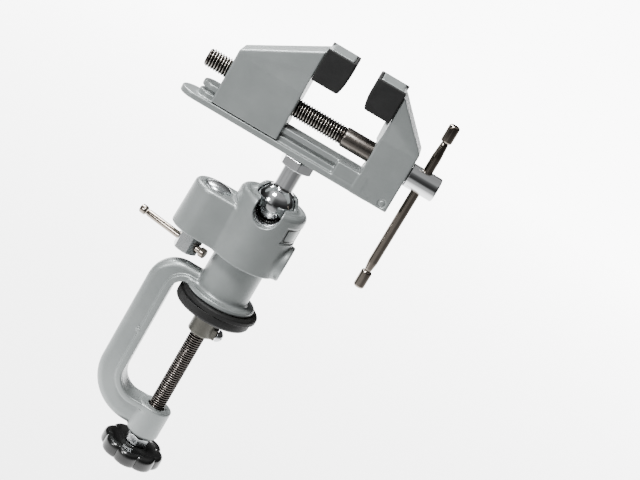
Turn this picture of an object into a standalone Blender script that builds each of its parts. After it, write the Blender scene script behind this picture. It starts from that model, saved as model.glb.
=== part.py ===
"""Bench vise: a screw vise on a ball joint, carried by a table clamp.

Metres, Z up, the jaws open along X, the front is towards -Y. Z = 0 is the face that bears on the table top, and
X = Y = 0 is the axis of the clamp's column. Dimensions below are in millimetres.
"""

import math

import bmesh
import bpy
from mathutils import Matrix, Vector

MM = 0.001
GAP = 0.3

# Table clamp
FLANGE_R = 22.3
FLANGE_LOW, FLANGE_TOP = 3.8, 6.8
COLUMN_R = 16.6
COLUMN_TOP = 55.0
KEEPER_Z = 42.5
SPINE_INNER_X, SPINE_OUTER_X = -27.9, -44.3
ARM_LOW, ARM_TOP = 4.1, 13.2
UPPER_INNER_R, UPPER_OUTER_R = 8.0, 18.5
LOWER_INNER_R, LOWER_OUTER_R = 13.5, 31.0
LOWER_ARM_TOP, LOWER_ARM_LOW = -78.2, -96.0
BOSS_R = 10.4
BOSS_TOP, BOSS_LOW = -77.9, -98.7
PAD_R = 24.7
PAD_X = 1.9
LUG_Z = -18.4
CLAMP_SCREW_R = 5.0
KNOB_R, KNOB_WAVE, KNOB_LOBES = 19.3, 1.0, 8
KNOB_LOW = -115.9

# Ball joint and housing
BALL_Z = 71.7
BALL_R = 12.0
NECK_R = 6.0
SPIGOT_R = 4.0
HOUSING_R = 22.1
HOUSING_LOW, HOUSING_TOP = 32.0, 74.2
HOUSING_BORE_R = 16.9
DOME_R, DOME_INNER_R = 14.4, 12.35
DOME_HEIGHT = 9.0
NOTCH_HALF, NOTCH_ARC_Z = 8.2, 68.9
LOCK_X = -32.6
LOCK_R = 15.4
LOCK_TOP = 62.8
BOLT_R = 4.0
ROUND_BOSS_ANGLE = math.radians(-1)
ROUND_BOSS_R = 11.5
PIN_DIRECTION = Vector((-0.944, 0.330, 0)).normalized()
PIN_Z = 23.6

# Vise head
BASE = 103.0
BASE_HALF = 10.0
BASE_TIP_X = -81.0
RAIL_HALF = 7.3
RAIL_TIP_X = -71.2
RAIL_TOP = BASE + 13.0
SCREW_Z = BASE + 24.6
JAW_HALF, TIP_HALF = 10.0, 13.0
TONGUE_HALF, RUBBER_HALF = 12.2, 14.3
JAW_SHOULDER = BASE + 35.5
JAW_CORNER = BASE + 39.7
TIP_LOW, TIP_EDGE, JAW_TOP = BASE + 49.4, BASE + 64.1, BASE + 67.3
RUBBER_LOW, RUBBER_TOP = BASE + 47.0, BASE + 67.0
MOVABLE_OUT, MOVABLE_IN, MOVABLE_END = -61.0, -17.4, 1.6
FIXED_OUT, FIXED_IN, FIXED_END = 58.5, 34.2, 15.4
HUB_R = 7.5
HUB_END = 78.1
TBAR_X = 67.8
TBAR_R = 2.95


def new_collection(name):
    made = bpy.data.collections.new(name)
    bpy.context.scene.collection.children.link(made)
    return made


for old in list(bpy.data.objects):
    bpy.data.objects.remove(old, do_unlink=True)
PARTS = new_collection("bench_vise")
CUTTERS = new_collection("cutters")


def material(name, colour, roughness, metallic):
    made = bpy.data.materials.new(name)
    made.use_nodes = True
    shader = made.node_tree.nodes["Principled BSDF"]
    shader.inputs["Base Color"].default_value = (*colour, 1.0)
    shader.inputs["Roughness"].default_value = roughness
    shader.inputs["Metallic"].default_value = metallic
    made.diffuse_color = (*colour, 1.0)
    return made


CAST = material("cast_aluminium", (0.42, 0.42, 0.42), 0.5, 0.6)
PLATE = material("machined_aluminium", (0.33, 0.33, 0.33), 0.45, 0.7)
CHROME = material("polished_chrome", (0.75, 0.75, 0.76), 0.1, 1.0)
ZINC = material("zinc_steel", (0.60, 0.60, 0.58), 0.3, 1.0)
STEEL = material("dark_steel", (0.20, 0.20, 0.20), 0.35, 1.0)
RUBBER = material("black_rubber", (0.02, 0.02, 0.02), 0.7, 0.0)
PLASTIC = material("black_plastic", (0.015, 0.015, 0.015), 0.25, 0.0)


def finish(name, bm, mat):
    """The object of this mesh, with its faces turned outwards."""
    bmesh.ops.recalc_face_normals(bm, faces=bm.faces)
    mesh = bpy.data.meshes.new(name)
    bm.to_mesh(mesh)
    bm.free()
    obj = bpy.data.objects.new(name, mesh)
    PARTS.objects.link(obj)
    if mat:
        mesh.materials.append(mat)
    return obj


def skin(name, mat, rings, loop=False):
    """A solid through rings of points, each ring a list of equal length or one single point."""
    bm = bmesh.new()
    layers = [[bm.verts.new(Vector(p) * MM) for p in ring] for ring in rings]
    pairs = list(zip(layers, layers[1:]))
    if loop:
        pairs.append((layers[-1], layers[0]))
    for low, high in pairs:
        count = max(len(low), len(high))
        for i in range(count):
            j = (i + 1) % count
            corners = [low[i % len(low)], low[j % len(low)], high[j % len(high)], high[i % len(high)]]
            bm.faces.new(list(dict.fromkeys(corners)))
    if not loop:
        for ring in (layers[0], layers[-1]):
            if len(ring) > 1:
                bm.faces.new(ring)
    return finish(name, bm, mat)


def turned(name, mat, profile, at=(0, 0, 0), axis=(0, 0, 1), segments=32, loop=False):
    """A solid of revolution. The profile is (radius, distance along the axis), and loop closes a hollow one."""
    turn = Vector((0, 0, 1)).rotation_difference(Vector(axis)).to_matrix()
    rings = []
    for radius, along in profile:
        steps = segments if radius > 0 else 1
        ring = []
        for i in range(steps):
            a = 2 * math.pi * i / segments
            ring.append(Vector(at) + turn @ Vector((radius * math.cos(a), radius * math.sin(a), along)))
        rings.append(ring)
    return skin(name, mat, rings, loop)


def cylinder(name, radius, low, high, at=(0, 0, 0), axis=(0, 0, 1), segments=32):
    """A plain cylinder, used as a cutter."""
    return turned(name, None, [(0, low), (radius, low), (radius, high), (0, high)], at, axis, segments)


def prism(name, mat, outline, low, high, along="Z"):
    """An outline pushed straight from low to high along one axis: (x, y) on Z, (x, z) on Y, (y, z) on X."""
    place = {
        "Z": lambda u, v, w: (u, v, w),
        "Y": lambda u, v, w: (u, w, v),
        "X": lambda u, v, w: (w, u, v),
    }[along]
    return skin(name, mat, [[place(u, v, w) for u, v in outline] for w in (low, high)])


def box(name, mat, low, high):
    corners = [(low[0], low[1]), (high[0], low[1]), (high[0], high[1]), (low[0], high[1])]
    return prism(name, mat, corners, low[2], high[2])


def arc(centre, radius, start, end, steps):
    """Points on a circle from start to end degrees, both ends included."""
    found = []
    for i in range(steps + 1):
        a = math.radians(start + (end - start) * i / steps)
        found.append((centre[0] + radius * math.cos(a), centre[1] + radius * math.sin(a)))
    return found


def hexagon(across_flats, corner_degrees, at=(0, 0)):
    return arc(at, across_flats / math.sqrt(3), corner_degrees, corner_degrees + 300, 5)


def boolean(obj, operation, others):
    for other in others:
        PARTS.objects.unlink(other)
        CUTTERS.objects.link(other)
        other.hide_render = True
        other.display_type = "WIRE"
        modifier = obj.modifiers.new(other.name, "BOOLEAN")
        modifier.operation = operation
        modifier.solver = "EXACT"
        modifier.object = other
    return obj


def join(obj, *others):
    return boolean(obj, "UNION", others)


def cut(obj, *others):
    return boolean(obj, "DIFFERENCE", others)


def set_origin(obj, point):
    """Moves the object's origin to a point on its joint's axis and leaves its shape where it is."""
    shift = Vector(point) * MM
    obj.data.transform(Matrix.Translation(-shift))
    obj.matrix_world = Matrix.Translation(shift)
    return obj


# ---------------------------------------------------------------- table clamp


def arm_stations():
    """Pairs of points (inner edge, outer edge) along the C, each (x, z)."""
    inner = [(-8.0, ARM_LOW)]
    inner += arc((SPINE_INNER_X + UPPER_INNER_R, ARM_LOW - UPPER_INNER_R), UPPER_INNER_R, 90, 180, 10)
    inner += [(SPINE_INNER_X, -35.0)]
    inner += arc((SPINE_INNER_X + LOWER_INNER_R, LOWER_ARM_TOP + LOWER_INNER_R), LOWER_INNER_R, 180, 270, 12)
    inner += [(-3.0, LOWER_ARM_TOP)]
    outer = [(-8.0, ARM_TOP)]
    outer += arc((SPINE_OUTER_X + UPPER_OUTER_R, ARM_TOP - UPPER_OUTER_R), UPPER_OUTER_R, 90, 180, 10)
    outer += [(SPINE_OUTER_X, -35.0)]
    outer += arc((SPINE_OUTER_X + LOWER_OUTER_R, LOWER_ARM_LOW + LOWER_OUTER_R), LOWER_OUTER_R, 180, 270, 12)
    outer += [(-3.0, LOWER_ARM_LOW)]
    return zip(inner, outer)


def arm_section(depth):
    """The T section: (distance from the inner edge, half width)."""
    half = [(0.0, 8.3), (0.7, 9.0), (3.5, 9.0), (4.2, 8.3), (4.6, 6.6), (5.4, 6.2)]
    half += [(depth - 3.4, 6.2), (depth - 1.9, 5.5), (depth - 0.6, 3.9), (depth, 1.6)]
    return half + [(along, -width) for along, width in reversed(half)]


def make_arm():
    rings = []
    for (xi, zi), (xo, zo) in arm_stations():
        depth = math.hypot(xo - xi, zo - zi)
        ux, uz = (xo - xi) / depth, (zo - zi) / depth
        rings.append([(xi + ux * s, w, zi + uz * s) for s, w in arm_section(depth)])
    return skin("arm", None, rings)


frame = turned(
    "clamp_frame",
    CAST,
    [
        (0, FLANGE_LOW),
        (FLANGE_R - 0.7, FLANGE_LOW),
        (FLANGE_R, FLANGE_LOW + 0.7),
        (FLANGE_R, FLANGE_TOP - 0.7),
        (FLANGE_R - 0.7, FLANGE_TOP),
        (COLUMN_R + 1.4, FLANGE_TOP),
        (COLUMN_R + 0.4, FLANGE_TOP + 0.6),
        (COLUMN_R, FLANGE_TOP + 1.8),
        (COLUMN_R, KEEPER_Z - 4.1),
        (COLUMN_R - 1.6, KEEPER_Z - 3.6),
        (COLUMN_R - 1.6, KEEPER_Z + 3.6),
        (COLUMN_R, KEEPER_Z + 4.1),
        (COLUMN_R, COLUMN_TOP - 1),
        (COLUMN_R - 1, COLUMN_TOP),
        (0, COLUMN_TOP),
    ],
)
boss = turned(
    "screw_boss",
    None,
    [
        (0, BOSS_LOW),
        (BOSS_R - 3.0, BOSS_LOW),
        (BOSS_R - 1.0, BOSS_LOW + 0.8),
        (BOSS_R, BOSS_LOW + 2.8),
        (BOSS_R, BOSS_TOP - 0.6),
        (BOSS_R - 0.6, BOSS_TOP),
        (0, BOSS_TOP),
    ],
)
join(frame, make_arm(), boss)
cut(frame, cylinder("screw_hole", CLAMP_SCREW_R + 0.4, BOSS_LOW - 12, BOSS_TOP + 8))

turned(
    "anvil_pad",
    RUBBER,
    [(0, 0), (PAD_R - 0.7, 0), (PAD_R, 0.7), (PAD_R, 2.8), (PAD_R - 0.7, 3.5), (0, 3.5)],
    at=(PAD_X, 0, 0),
)

# Pressure plate: it rides on the screw's end and does not turn with it.
turned(
    "pressure_rubber",
    RUBBER,
    [
        (0, -0.3),
        (24.0, -0.3),
        (24.6, -0.9),
        (24.6, -4.9),
        (23.4, -6.2),
        (10.4, -10.6),
        (8.5, -10.6),
        (8.5, -10.15),
        (20.9, -6.05),
        (20.9, -2.6),
        (0, -2.6),
    ],
)
plate = turned(
    "pressure_plate",
    PLATE,
    [
        (0, -2.9),
        (20.2, -2.9),
        (20.6, -3.3),
        (20.6, -5.8),
        (8.2, -9.85),
        (8.2, -10.9),
        (7.75, -11.4),
        (7.75, -21.4),
        (6.9, -22.4),
        (0, -22.4),
    ],
)
lug = prism("lug", None, [(4, -3.4), (9.3, -3.4), (10.1, -2.6), (10.1, 2.6), (9.3, 3.4), (4, 3.4)], LUG_Z - 3.6, LUG_Z + 3.9)
join(plate, lug)
cut(
    plate,
    cylinder("pad_bore", CLAMP_SCREW_R + 0.5, -30, -8.2),
    cylinder("pad_screw_hole", 2.3, 3, 14, at=(0, 0, LUG_Z), axis=(1, 0, 0), segments=24),
)
pad_screw = turned(
    "pad_screw",
    ZINC,
    [
        (0, 4.2),
        (1.7, 4.2),
        (2.0, 4.6),
        (2.0, 10.4),
        (4.0, 10.4),
        (4.2, 10.8),
        (4.0, 12.0),
        (3.2, 13.2),
        (1.8, 13.9),
        (0, 14.1),
    ],
    at=(0, 0, LUG_Z),
    axis=(1, 0, 0),
    segments=32,
)
cut(
    pad_screw,
    box("cross_a", None, (12.7, -2.3, LUG_Z - 0.5), (15, 2.3, LUG_Z + 0.5)),
    box("cross_b", None, (12.6, -0.5, LUG_Z - 2.3), (15, 0.5, LUG_Z + 2.3)),
)

turned(
    "clamp_screw",
    STEEL,
    [
        (0, KNOB_LOW + 4.4),
        (CLAMP_SCREW_R - 0.6, KNOB_LOW + 4.4),
        (CLAMP_SCREW_R, KNOB_LOW + 5.0),
        (CLAMP_SCREW_R, LUG_Z - 2.8),
        (3.9, LUG_Z - 2.2),
        (3.9, LUG_Z + 2.2),
        (CLAMP_SCREW_R, LUG_Z + 2.8),
        (CLAMP_SCREW_R, -9.4),
        (4.2, -8.6),
        (0, -8.6),
    ],
    segments=32,
)


def lobed(z, inset):
    ring = []
    for i in range(64):
        a = 2 * math.pi * i / 64
        r = KNOB_R - inset + KNOB_WAVE * math.cos(KNOB_LOBES * a)
        ring.append((r * math.cos(a), r * math.sin(a), z))
    return ring


def round_ring(z, radius):
    return [(x, y, z) for x, y in arc((0, 0), radius, 0, 360 * 63 / 64, 63)]


skin(
    "clamp_knob",
    PLASTIC,
    [
        [(0, 0, KNOB_LOW + 1.5)],
        round_ring(KNOB_LOW + 1.5, 11.5),
        round_ring(KNOB_LOW, 12.8),
        lobed(KNOB_LOW, 2.2),
        lobed(KNOB_LOW + 0.7, 0.8),
        lobed(KNOB_LOW + 1.9, 0.0),
        lobed(KNOB_LOW + 8.1, 0.1),
        lobed(KNOB_LOW + 9.4, 0.9),
        lobed(KNOB_LOW + 10.0, 2.3),
        round_ring(KNOB_LOW + 10.0, 14.2),
        round_ring(KNOB_LOW + 8.6, 12.4),
        round_ring(KNOB_LOW + 8.6, 8.6),
        round_ring(KNOB_LOW + 9.8, 7.8),
        round_ring(KNOB_LOW + 9.8, 5.4),
        round_ring(KNOB_LOW + 3.9, 5.4),
        [(0, 0, KNOB_LOW + 3.9)],
    ],
)
knob_nut = prism("knob_nut", ZINC, hexagon(13.0, -80), KNOB_LOW + 10.2, KNOB_LOW + 15.6)
cut(knob_nut, cylinder("knob_nut_hole", CLAMP_SCREW_R + 0.35, -112, -98))

# ---------------------------------------------------------------- housing


def stadium_end(radius):
    """The lock boss's outline: a half circle to the left and flat sides running in to the housing."""
    return arc((LOCK_X, 0), radius, 90, 270, 24) + [(-5, -radius), (-5, radius)]


def dome(radius, low, high, steps):
    """Points of a circle about the ball's centre between two heights above it."""
    start, end = math.asin(low / radius), math.asin(high / radius)
    found = []
    for i in range(steps + 1):
        a = start + (end - start) * i / steps
        found.append((radius * math.cos(a), BALL_Z + radius * math.sin(a)))
    return found


def slot(name, half, arc_z, y_low, y_high):
    """A cutter for the front notch: round at the bottom, open at the top."""
    outline = [(-half, 100.0)] + arc((0, arc_z), half, 180, 360, 20) + [(half, 100.0)]
    return prism(name, None, outline, y_low, y_high, along="Y")


housing = turned(
    "swivel_housing",
    CAST,
    [
        (0, HOUSING_LOW),
        (HOUSING_R - 0.6, HOUSING_LOW),
        (HOUSING_R, HOUSING_LOW + 0.6),
        (HOUSING_R, HOUSING_TOP - 4.0),
        (HOUSING_R - 0.5, HOUSING_TOP - 2.0),
        (HOUSING_R - 1.8, HOUSING_TOP - 0.6),
        (HOUSING_R - 3.4, HOUSING_TOP),
        (16.4, HOUSING_TOP - 0.2),
    ]
    + dome(DOME_INNER_R, HOUSING_TOP - 0.3 - BALL_Z, 0.01, 3)
    + [(DOME_INNER_R, 66.0), (0, 66.0)],
    segments=48,
)
half_dome = turned(
    "half_dome",
    None,
    dome(DOME_R, 1.5, DOME_HEIGHT, 6) + dome(DOME_INNER_R + 0.05, DOME_HEIGHT, 1.5, 6),
    segments=48,
    loop=True,
)
cut(half_dome, box("dome_front", None, (-20, -30, 60), (20, -1.0, 95)))
lock_boss = skin(
    "lock_boss",
    None,
    [
        [(x, y, z) for x, y in stadium_end(LOCK_R - inset)]
        for z, inset in [
            (HOUSING_LOW + 0.2, 0.6),
            (HOUSING_LOW + 0.8, 0.0),
            (LOCK_TOP - 2.4, 0.6),
            (LOCK_TOP - 0.8, 1.2),
            (LOCK_TOP, 3.0),
        ]
    ],
)
boss_axis = Vector((math.cos(ROUND_BOSS_ANGLE), math.sin(ROUND_BOSS_ANGLE), 0))
round_boss = turned(
    "round_boss",
    None,
    [(0, 14), (ROUND_BOSS_R, 14), (ROUND_BOSS_R, 24.2), (ROUND_BOSS_R - 0.6, 24.8), (0, 24.8)],
    at=(0, 0, KEEPER_Z),
    axis=boss_axis,
    segments=40,
)
join(housing, half_dome, lock_boss, round_boss)


def label_cutter():
    """A shallow blank panel on the right of the housing."""
    start, end, steps = 42, 98, 14
    inner = arc((0, 0), HOUSING_R - 0.8, start - 90, end - 90, steps)
    outer = arc((0, 0), HOUSING_R + 3, start - 90, end - 90, steps)
    return prism("panel", None, inner + outer[::-1], 56.4, 67.0)


cut(
    housing,
    cylinder("keeper_hole", 3.4, 8, 30, at=(0, 0, KEEPER_Z), axis=boss_axis),
    cylinder("housing_bore", HOUSING_BORE_R, 25, 66.5, segments=48),
    slot("notch", NOTCH_HALF, NOTCH_ARC_Z, -30, -2.0),
    label_cutter(),
    box("wedge_cavity", None, (-41.8, -8, 38), (-12, 8, 56)),
    turned(
        "bolt_hole",
        None,
        [(0, 25), (BOLT_R + 0.4, 25), (BOLT_R + 0.4, 61.6), (9.2, 61.6), (9.2, 70), (0, 70)],
        at=(LOCK_X, 0, 0),
        segments=40,
    ),
)

keeper = turned(
    "keeper_screw",
    STEEL,
    [(0, 15.5), (2.2, 15.5), (2.4, 16.4), (3.0, 17.2), (3.0, 22.8), (2.6, 23.2), (0, 23.2)],
    at=(0, 0, KEEPER_Z),
    axis=boss_axis,
    segments=24,
)
cut(keeper, prism("keeper_socket", None, hexagon(2.8, 0, at=(0, KEEPER_Z)), 21.4, 26, along="X"))

seat = turned(
    "ball_seat",
    ZINC,
    [(0, COLUMN_TOP + GAP), (16.0, COLUMN_TOP + GAP), (16.55, COLUMN_TOP + 0.9), (16.55, 66.2)]
    + dome(13.9, -5.5, -13.7, 6)
    + [(0, BALL_Z - 13.9)],
)
cut(seat, slot("seat_notch", 7.9, 69.2, -30, -3.0))
liner = turned(
    "ball_liner",
    PLASTIC,
    [(0, BALL_Z - 13.6)] + dome(13.6, -13.3, -5.9, 6) + dome(12.3, -5.9, -12.1, 6) + [(0, BALL_Z - 12.3)],
)
cut(liner, slot("liner_notch", 7.3, 69.4, -30, -3.0))

turned(
    "lock_bolt",
    ZINC,
    [
        (0, 27.2),
        (BOLT_R - 0.5, 27.2),
        (BOLT_R, 27.7),
        (BOLT_R, 61.9),
        (8.3, 61.9),
        (8.6, 62.3),
        (8.2, 63.2),
        (6.6, 64.4),
        (4.0, 65.2),
        (0, 65.5),
    ],
    at=(LOCK_X, 0, 0),
    segments=32,
)
WEDGE = [(-40.9, 8.7), (-21.9, 8.7), (-21.9, 6.4), (-26.9, 1.4), (-40.9, 1.4)]
for name, side in (("upper_wedge", 1), ("lower_wedge", -1)):
    wedge = prism(name, STEEL, [(x, 47 + side * h) for x, h in WEDGE], -7.6, 7.6, along="Y")
    cut(wedge, cylinder(name + "_hole", BOLT_R + 0.4, 30, 64, at=(LOCK_X, 0, 0)))
shoe = prism(
    "clamp_shoe",
    STEEL,
    [(-12, 39.8), (-12, 54.2), (-20.6, 54.2), (-26.3, 48.5), (-26.3, 45.5), (-20.6, 39.8)],
    -7.6,
    7.6,
    along="Y",
)
cut(shoe, cylinder("shoe_face", COLUMN_R + 0.4, 30, 64, segments=48))
turned("lock_washer", ZINC, [(4.4, 30.5), (8.4, 30.5), (8.4, 31.7), (4.4, 31.7)], at=(LOCK_X, 0, 0), loop=True)

lock_nut = prism("lock_nut", ZINC, hexagon(14.0, -75, at=(LOCK_X, 0)), 18.6, 30.2)
cut(
    lock_nut,
    cylinder("lock_nut_thread", BOLT_R + 0.3, 26.8, 34, at=(LOCK_X, 0, 0)),
    cylinder("lock_pin_hole", 2.55, -14, 14, at=(LOCK_X, 0, PIN_Z), axis=PIN_DIRECTION, segments=24),
)
pin_at = (LOCK_X, 0, PIN_Z)
turned(
    "lock_pin",
    ZINC,
    [
        (0, -12.0),
        (2.2, -12.0),
        (2.2, 31.5),
        (1.8, 32.3),
        (1.8, 33.1),
        (2.9, 33.8),
        (2.9, 36.8),
        (2.3, 37.5),
        (0, 37.5),
    ],
    at=pin_at,
    axis=PIN_DIRECTION,
    segments=24,
)
turned(
    "lock_pin_cap",
    ZINC,
    [(0, -13.2), (2.5, -13.2), (3.1, -12.6), (3.1, -10.2), (2.7, -9.7), (2.5, -9.7), (2.5, -12.3), (0, -12.3)],
    at=pin_at,
    axis=PIN_DIRECTION,
    segments=24,
)

# ---------------------------------------------------------------- ball stud

turned(
    "ball_stud",
    CHROME,
    [(0, BALL_Z - BALL_R)]
    + dome(BALL_R, -11.7, math.sqrt(BALL_R**2 - NECK_R**2), 11)
    + [
        (NECK_R, 96.0),
        (NECK_R - 0.3, 96.3),
        (SPIGOT_R, 96.3),
        (SPIGOT_R, 110.3),
        (SPIGOT_R - 0.5, 110.8),
        (0, 110.8),
    ],
)
stud_nut = prism("stud_nut", CHROME, hexagon(18.8, -78), 96.6, 102.7)
cut(stud_nut, cylinder("stud_nut_hole", SPIGOT_R + 0.35, 90, 108))

# ---------------------------------------------------------------- vise head


def rail_outline(half, right=37.0):
    centre = RAIL_TIP_X + RAIL_HALF
    return arc((centre, 0), half, 90, 270, 16) + [(right, -half), (right, half)]


def jaw_body(name, mat, outside, inside, low, crowns):
    """The cast block of a jaw: a plain lower body, and above it a wedge that grows wider towards the tip.

    Crowns are how far the ridge down the middle of the inner face stands out, at its bottom and at its top.
    """
    side = 1 if inside > outside else -1
    bm = bmesh.new()

    def both(x, half, z):
        return [bm.verts.new(Vector((x, y, z)) * MM) for y in (-half, half)]

    a = both(outside, JAW_HALF, low)
    b = both(inside, JAW_HALF, low)
    c = both(inside, JAW_HALF, JAW_SHOULDER)
    d = both(outside, JAW_HALF, JAW_SHOULDER + 1.2)
    e = both(inside, TIP_HALF, TIP_LOW)
    f = both(inside, TIP_HALF, TIP_EDGE)
    g = both(outside, JAW_HALF, JAW_CORNER)
    low_mid = bm.verts.new(Vector((inside + crowns[0] * side, 0, low)) * MM)
    high_mid = bm.verts.new(Vector((inside + crowns[1] * side, 0, TIP_LOW - 5.2)) * MM)
    fade = bm.verts.new(Vector((inside, 0, TIP_LOW - 3.6)) * MM)
    for i in (0, 1):
        bm.faces.new([a[i], b[i], c[i]])
        bm.faces.new([a[i], c[i], d[i]])
        bm.faces.new([d[i], c[i], e[i]])
        bm.faces.new([d[i], e[i], f[i], g[i]])
        bm.faces.new([b[i], low_mid, high_mid])
        bm.faces.new([b[i], high_mid, c[i]])
        bm.faces.new([c[i], high_mid, fade])
        bm.faces.new([c[i], fade, e[i]])
    bm.faces.new([a[0], b[0], low_mid, b[1], a[1]])
    bm.faces.new([a[0], d[0], g[0], g[1], d[1], a[1]])
    bm.faces.new([g[0], f[0], f[1], g[1]])
    bm.faces.new([e[0], fade, e[1], f[1], f[0]])
    return finish(name, bm, mat)


def jaw_tongue(name, outside, inside, end):
    """The metal nose that carries the rubber. It rises steeply from the jaw's slope to its flat top."""
    side = 1 if inside > outside else -1
    slope = (TIP_EDGE - JAW_CORNER) / abs(inside - outside)
    turn_x = inside + 2.6 * side
    back = inside - 4 * side
    outline = [
        (back, TIP_LOW + 0.4),
        (end, TIP_LOW + 0.4),
        (end, JAW_TOP),
        (turn_x, JAW_TOP),
        (inside, TIP_EDGE - 0.05),
        (back, TIP_EDGE - 0.05 - 4 * slope),
    ]
    return prism(name, None, outline, -TONGUE_HALF, TONGUE_HALF, along="Y")


def jaw_rubber(name, inside, end, low=RUBBER_LOW):
    """The rubber cap: two side plates, a bottom and a slightly bellied inner face, open above and to the jaw."""
    side = 1 if inside > end else -1
    outline = [
        (end + 0.2 * side, RUBBER_TOP),
        (end, RUBBER_TOP - 8),
        (end + 0.2 * side, low + 5),
        (end + 1.8 * side, low),
        (inside - 0.3 * side, low),
        (inside - 0.3 * side, RUBBER_TOP),
    ]
    rubber = prism(name, RUBBER, outline, -RUBBER_HALF, RUBBER_HALF, along="Y")
    xs = sorted((end + 2.0 * side, inside + 5 * side))
    half = TONGUE_HALF + GAP
    inner = box(name + "_pocket", None, (xs[0], -half, TIP_LOW), (xs[1], half, RUBBER_TOP + 9))
    return cut(rubber, inner)


base = jaw_body("vise_base", CAST, FIXED_OUT, FIXED_IN, BASE, (0.4, 2.6))
base_plate = prism(
    "base_plate",
    None,
    arc((BASE_TIP_X + BASE_HALF, 0), BASE_HALF, 90, 270, 20) + [(45, -BASE_HALF + 0.1), (45, BASE_HALF - 0.1)],
    BASE + 0.1,
    BASE + 3.8,
)
rail = skin(
    "rail",
    None,
    [
        [(x, y, BASE + z) for x, y in rail_outline(half)]
        for z, half in [
            (3.0, RAIL_HALF),
            (7.2, RAIL_HALF),
            (7.5, RAIL_HALF - 1.7),
            (9.3, RAIL_HALF - 1.7),
            (9.7, RAIL_HALF),
            (12.3, RAIL_HALF),
            (13.0, RAIL_HALF - 0.7),
        ]
    ],
)
step = box("step", None, (19.8, -9.8, BASE + 0.6), (40, 9.8, BASE + 12.5))
join(base, base_plate, rail, step, jaw_tongue("fixed_tongue", FIXED_OUT, FIXED_IN, FIXED_END + 2.3))
cut(
    base,
    cylinder("screw_bore", 6.6, 10, 75, at=(0, 0, SCREW_Z), axis=(1, 0, 0)),
    cylinder("ring_recess", 8.4, 20, 37.4, at=(0, 0, SCREW_Z), axis=(1, 0, 0)),
    cylinder("spigot_hole", SPIGOT_R + 0.4, 95, 111.5),
    turned(
        "cast_mark",
        None,
        [(1.6, 9.7), (2.7, 9.7), (2.7, 12), (1.6, 12)],
        at=(54.0, 0, BASE + 3.4),
        axis=(0, -1, 0),
        segments=24,
        loop=True,
    ),
)
jaw_rubber("fixed_jaw_pad", FIXED_IN, FIXED_END)

movable = jaw_body("movable_jaw", CAST, MOVABLE_OUT, MOVABLE_IN, BASE + 4.5, (1.5, 1.5))
join(movable, jaw_tongue("movable_tongue", MOVABLE_OUT, MOVABLE_IN, MOVABLE_END - 2.3))
CHANNEL = [(7.65, -5), (7.65, 7.9), (6.0, 8.1), (6.0, 8.8), (7.65, 9.0), (7.65, 13.4)]
cut(
    movable,
    prism(
        "channel",
        None,
        [(y, BASE + z) for y, z in CHANNEL] + [(-y, BASE + z) for y, z in reversed(CHANNEL)],
        -75,
        -5,
        along="X",
    ),
    cylinder("movable_bore", 6.3, -75, -5, at=(0, 0, SCREW_Z), axis=(1, 0, 0)),
)
jaw_rubber("movable_jaw_pad", MOVABLE_IN, MOVABLE_END, RUBBER_LOW - 0.8)

# Main screw
screw_at = (0, 0, SCREW_Z)
screw = turned(
    "jaw_screw",
    STEEL,
    [
        (0, -76.0),
        (4.9, -76.0),
        (5.9, -75.0),
        (5.9, 14.5),
        (6.2, 15.5),
        (6.2, 35.3),
        (5.3, 35.3),
        (5.3, 37.1),
        (6.2, 37.1),
        (6.2, 58.3),
        (4.5, 58.3),
        (4.5, 63.4),
        (4.1, 63.8),
        (0, 63.8),
    ],
    at=screw_at,
    axis=(1, 0, 0),
)
cut(screw, cylinder("screw_pin_hole", 1.8, -9, 9, at=(61.4, 0, SCREW_Z), axis=(0, 1, 0), segments=20))
turned(
    "screw_ring",
    STEEL,
    [(5.6, 35.6), (8.0, 35.6), (8.0, 36.8), (5.6, 36.8)],
    at=screw_at,
    axis=(1, 0, 0),
    segments=32,
    loop=True,
)
hub = turned(
    "screw_hub",
    CHROME,
    [
        (0, 58.9),
        (HUB_R - 0.4, 58.9),
        (HUB_R, 59.3),
        (HUB_R, HUB_END - 0.9),
        (HUB_R - 0.4, HUB_END - 0.3),
        (HUB_R - 1.1, HUB_END),
        (0, HUB_END),
    ],
    at=screw_at,
    axis=(1, 0, 0),
)
cut(
    hub,
    cylinder("hub_bore", 4.8, 50, 64.1, at=screw_at, axis=(1, 0, 0)),
    cylinder("hub_cross_hole", TBAR_R + 0.3, -12, 12, at=(TBAR_X, 0, SCREW_Z)),
    cylinder("hub_pin_hole", 1.8, -5.5, 12, at=(61.4, 0, SCREW_Z), axis=(0, 1, 0), segments=20),
)
turned(
    "hub_pin",
    STEEL,
    [(0, -5.0), (1.2, -5.0), (1.5, -4.6), (1.5, 6.6), (1.2, 7.0), (0, 7.0)],
    at=(61.4, 0, SCREW_Z),
    axis=(0, 1, 0),
    segments=20,
)

# Tommy bar: the rod is necked down where each end is pressed on.
turned(
    "tbar_rod",
    CHROME,
    [
        (0, -73.5),
        (2.1, -73.5),
        (2.1, -62.3),
        (2.3, -61.3),
        (TBAR_R, -56.5),
        (TBAR_R, 17.0),
        (2.3, 25.6),
        (2.1, 26.6),
        (2.1, 37.8),
        (0, 37.8),
    ],
    at=(TBAR_X, 0, SCREW_Z),
    segments=28,
)
CAP = [(0, 11.4), (2.6, 11.4), (3.45, 10.6), (3.45, 0.8), (2.9, 0.0), (2.4, 0.0), (2.4, 10.9), (0, 10.9)]
for name, base_z, way in (("tbar_cap_top", 27.2, 1), ("tbar_cap_bottom", -62.9, -1)):
    turned(
        name,
        CHROME,
        [(r, base_z + way * h) for r, h in CAP],
        at=(TBAR_X, 0, SCREW_Z),
        segments=28,
    )

# ---------------------------------------------------------------- origins on the joints' axes

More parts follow.
